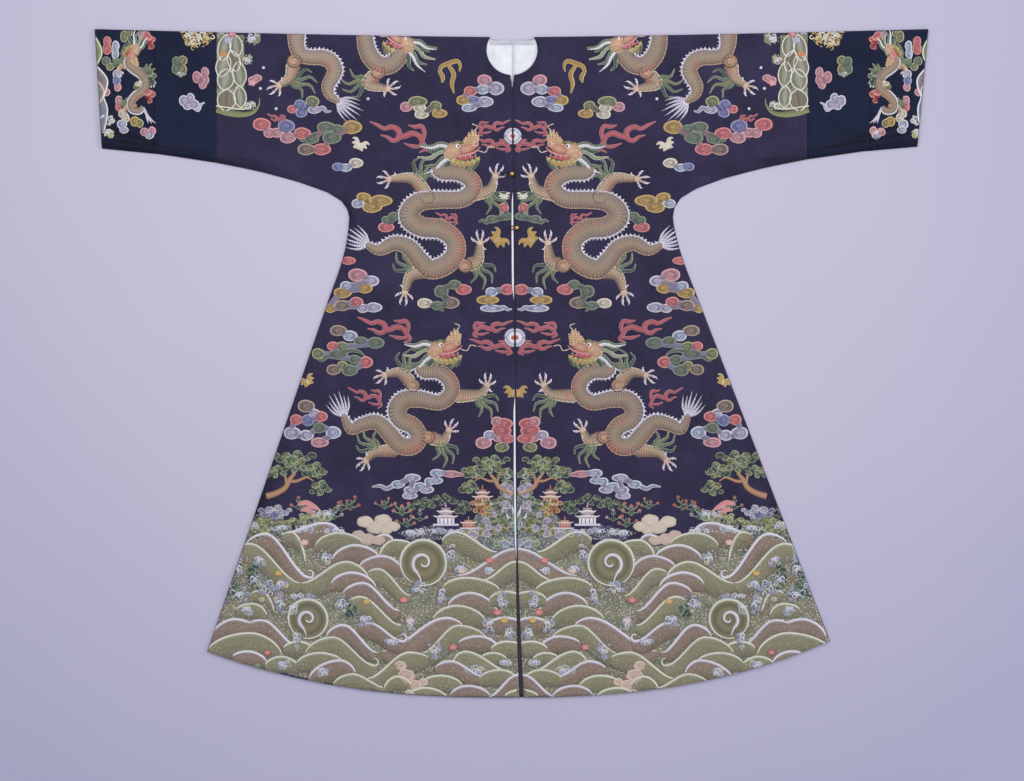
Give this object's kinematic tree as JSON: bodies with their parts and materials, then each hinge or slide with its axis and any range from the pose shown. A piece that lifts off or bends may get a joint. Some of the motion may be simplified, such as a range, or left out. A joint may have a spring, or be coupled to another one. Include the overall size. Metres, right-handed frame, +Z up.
{
  "type": "lined surcoat laid flat",
  "caption": "Long centre-opening court surcoat with flared skirt and wide straight sleeves, lined, laid flat on its back.",
  "frame": {"origin": "on the surface that the coat lies on, at the middle of its width and length", "axes": "+X to the viewer's right along the sleeves, +Y up the coat from hem to shoulder, +Z up off the surface"},
  "size_m": [1.7657, 1.416, 0.018],
  "materials": {
    "outer_silk": "dark purple-navy silk damask with couched gold and coloured silk needlework",
    "sleeve_silk": "plain navy-black silk with a soft sheen",
    "lining_silk": "pale blue-white plain silk",
    "gilt_metal": "polished gilt brass",
    "cord": "dark twisted silk cord"
  },
  "bodies": {
    "root": {"body_left": "outer_silk", "body_right": "outer_silk", "sleeve_band_left": "sleeve_silk", "sleeve_band_right": "sleeve_silk", "cuff_left": "outer_silk", "cuff_right": "outer_silk", "lining_left": "lining_silk", "lining_right": "lining_silk", "lining_edge_upper": "lining_silk", "lining_edge_lower": "lining_silk", "neck_facing": "lining_silk", "front_underlap": "sleeve_silk", "button_upper": "gilt_metal", "button_lower": "gilt_metal", "loop_upper": "cord", "loop_lower": "cord"}
  },
  "joints": []
}
